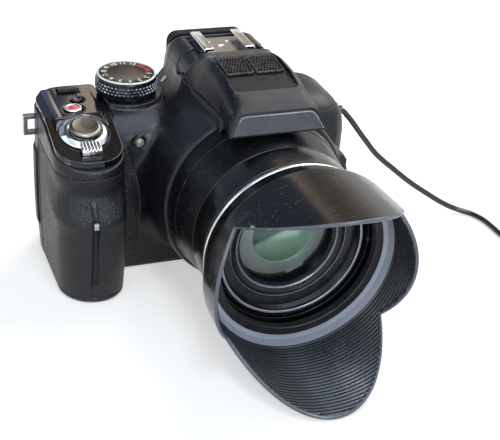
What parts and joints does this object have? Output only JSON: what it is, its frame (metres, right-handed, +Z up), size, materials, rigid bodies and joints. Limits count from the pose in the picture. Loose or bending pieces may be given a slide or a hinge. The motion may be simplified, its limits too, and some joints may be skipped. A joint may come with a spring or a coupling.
{
  "type": "bridge camera",
  "caption": "Superzoom bridge camera with a deep grip, a pop-up flash over the lens, a swivel screen, a petal lens hood and a capped string at its strap loop.",
  "frame": {"origin": "centre of the tripod socket mouth, in the base plane and under the lens axis", "axes": "+Z up, the lens looks along -Y, the grip is on the -X side"},
  "size_m": [0.2619, 0.1535, 0.0883],
  "materials": {
    "body_plastic": "fine-grained satin black moulding",
    "grain_rubber": "leather-grained black rubber",
    "gloss_black": "polished black",
    "satin_black": "satin black",
    "tube_black": "matt black",
    "chrome": "bright plating",
    "shoe_steel": "brushed",
    "bright_ring": "satin bright",
    "plate_grey": "satin grey",
    "lens_glass": "coated glass",
    "clear_lamp": "clear",
    "screen_black": "dark cover glass",
    "brass": "turned",
    "board": "solder-masked board",
    "sensor": "sensor package",
    "cell": "shrink-wrapped",
    "card": "moulded",
    "motor": "plain can",
    "string": "round braided cord"
  },
  "bodies": {
    "body": {"front_cover": "body_plastic", "rear_cover": "body_plastic", "top_cover": "body_plastic", "grip_rubber": "grain_rubber", "thumb_rubber": "grain_rubber", "top_panel": "gloss_black", "shoe_plate": "shoe_steel", "shoe_rails": "chrome", "af_lamp": "clear_lamp", "strap_lugs": "chrome", "lens_tube": "tube_black", "barrel_band": "body_plastic", "silver_ring": "bright_ring", "eyecup": "grain_rubber", "eyepiece_lens": "lens_glass", "tripod_bush": "brass", "main_board": "board", "image_sensor": "sensor", "battery": "cell", "memory_card": "card", "speaker": "motor", "flash_capacitor": "cell", "zoom_motor": "motor", "hinge_pins": "chrome", "cap_string": "string", "lens_cap": "gloss_black"},
    "hood": {"lens_hood": "gloss_black"},
    "zoom_stage_1": {"zoom_barrel_outer": "tube_black", "rear_lens": "lens_glass"},
    "zoom_stage_2": {"zoom_barrel_inner": "tube_black", "name_ring": "gloss_black", "front_lens": "lens_glass"},
    "mode_dial": {"mode_dial": "satin_black", "dial_face": "satin_black"},
    "flash": {"flash_head": "body_plastic", "flash_plate": "plate_grey", "mic_grilles": "satin_black", "flash_window": "clear_lamp", "flash_tube": "clear_lamp"},
    "screen": {"screen_shell": "satin_black", "screen_glass": "screen_black"},
    "shutter_button": {"shutter_button": "chrome"},
    "zoom_lever": {"zoom_lever": "chrome"},
    "movie_button": {"movie_button": "chrome"},
    "burst_button": {"burst_button": "gloss_black"},
    "power_switch": {"power_switch": "satin_black"},
    "flash_button": {"flash_button": "satin_black"},
    "side_zoom_lever": {"side_zoom_lever": "satin_black"},
    "focus_switch": {"focus_switch": "satin_black"},
    "dioptre_dial": {"dioptre_dial": "satin_black"},
    "rear_dial": {"rear_dial": "satin_black"},
    "evf_button": {"evf_button": "satin_black"},
    "lock_button": {"lock_button": "satin_black"},
    "play_button": {"play_button": "satin_black"},
    "cursor_pad": {"cursor_pad": "satin_black"},
    "set_button": {"set_button": "satin_black"},
    "display_button": {"display_button": "satin_black"},
    "delete_button": {"delete_button": "satin_black"},
    "battery_door": {"battery_door": "body_plastic"},
    "socket_door": {"socket_door": "body_plastic"}
  },
  "joints": [
    {"name": "hood_turn", "type": "hinge", "parent": "body", "child": "hood", "pos_m": [0, -0.0713, 0.0392], "axis": [0, -1, 0], "range_deg": [0, 45]},
    {"name": "zoom_1", "type": "slide", "parent": "body", "child": "zoom_stage_1", "axis": [0, -1, 0], "range_m": [0, 0.028]},
    {"name": "zoom_2", "type": "slide", "parent": "zoom_stage_1", "child": "zoom_stage_2", "axis": [0, -1, 0], "range_m": [0, 0.028]},
    {"name": "mode_dial_turn", "type": "hinge", "parent": "body", "child": "mode_dial", "pos_m": [-0.0382, 0.0138, 0.0669], "axis": [0, 0, 1], "continuous": true},
    {"name": "shutter_press", "type": "slide", "parent": "body", "child": "shutter_button", "axis": [0, 0.2419, -0.9703], "range_m": [0, 0.0006], "stiffness_N_per_m": 900},
    {"name": "zoom_lever_turn", "type": "hinge", "parent": "body", "child": "zoom_lever", "pos_m": [-0.061, -0.01267, 0.06294], "axis": [0, -0.2419, 0.9703], "range_deg": [-20, 20], "stiffness_Nm_per_rad": 0.02},
    {"name": "movie_press", "type": "slide", "parent": "body", "child": "movie_button", "axis": [0, 0, -1], "range_m": [0, 0.0008], "stiffness_N_per_m": 900},
    {"name": "burst_press", "type": "slide", "parent": "body", "child": "burst_button", "axis": [0, 0, -1], "range_m": [0, 0.0008], "stiffness_N_per_m": 900},
    {"name": "power_slide", "type": "slide", "parent": "body", "child": "power_switch", "axis": [0, 1, 0], "range_m": [0, 0.003]},
    {"name": "flash_tilt", "type": "hinge", "parent": "body", "child": "flash", "pos_m": [0, 0.006, 0.0794], "axis": [-1, 0, 0], "range_deg": [0, 40]},
    {"name": "flash_button_press", "type": "slide", "parent": "body", "child": "flash_button", "axis": [-1, 0, 0], "range_m": [0, 0.0008], "stiffness_N_per_m": 900},
    {"name": "side_lever_slide", "type": "slide", "parent": "body", "child": "side_zoom_lever", "axis": [0, 0, 1], "range_m": [-0.002, 0.002], "stiffness_N_per_m": 300},
    {"name": "focus_switch_slide", "type": "slide", "parent": "body", "child": "focus_switch", "axis": [0, 0, 1], "range_m": [-0.002, 0.002]},
    {"name": "screen_swing", "type": "hinge", "parent": "body", "child": "screen", "pos_m": [0.0459, 0.0274, 0.029], "axis": [0, 0, -1], "range_deg": [0, 180]},
    {"name": "dioptre_turn", "type": "hinge", "parent": "body", "child": "dioptre_dial", "pos_m": [0.019, 0.0255, 0.073], "axis": [1, 0, 0], "range_deg": [-120, 120]},
    {"name": "rear_dial_turn", "type": "hinge", "parent": "body", "child": "rear_dial", "pos_m": [-0.057, 0.0215, 0.056], "axis": [0, 0, 1], "continuous": true},
    {"name": "evf_press", "type": "slide", "parent": "body", "child": "evf_button", "axis": [0, -1, 0], "range_m": [0, 0.0008], "stiffness_N_per_m": 900},
    {"name": "lock_press", "type": "slide", "parent": "body", "child": "lock_button", "axis": [0, -1, 0], "range_m": [0, 0.0008], "stiffness_N_per_m": 900},
    {"name": "play_press", "type": "slide", "parent": "body", "child": "play_button", "axis": [0, -1, 0], "range_m": [0, 0.0008], "stiffness_N_per_m": 900},
    {"name": "cursor_pad_press", "type": "slide", "parent": "body", "child": "cursor_pad", "axis": [0, -1, 0], "range_m": [0, 0.0008], "stiffness_N_per_m": 900},
    {"name": "set_press", "type": "slide", "parent": "body", "child": "set_button", "axis": [0, -1, 0], "range_m": [0, 0.0008], "stiffness_N_per_m": 900},
    {"name": "display_press", "type": "slide", "parent": "body", "child": "display_button", "axis": [0, -1, 0], "range_m": [0, 0.0008], "stiffness_N_per_m": 900},
    {"name": "delete_press", "type": "slide", "parent": "body", "child": "delete_button", "axis": [0, -1, 0], "range_m": [0, 0.0008], "stiffness_N_per_m": 900},
    {"name": "battery_door_swing", "type": "hinge", "parent": "body", "child": "battery_door", "pos_m": [-0.0506, 0, 0.001], "axis": [0, -1, 0], "range_deg": [0, 90]},
    {"name": "socket_door_swing", "type": "hinge", "parent": "body", "child": "socket_door", "pos_m": [0.0485, 0.0102, 0.03], "axis": [0, 0, -1], "range_deg": [0, 95]}
  ],
  "couplings": [
    {"joint": "zoom_2", "follows": "zoom_1", "ratio": 1}
  ]
}
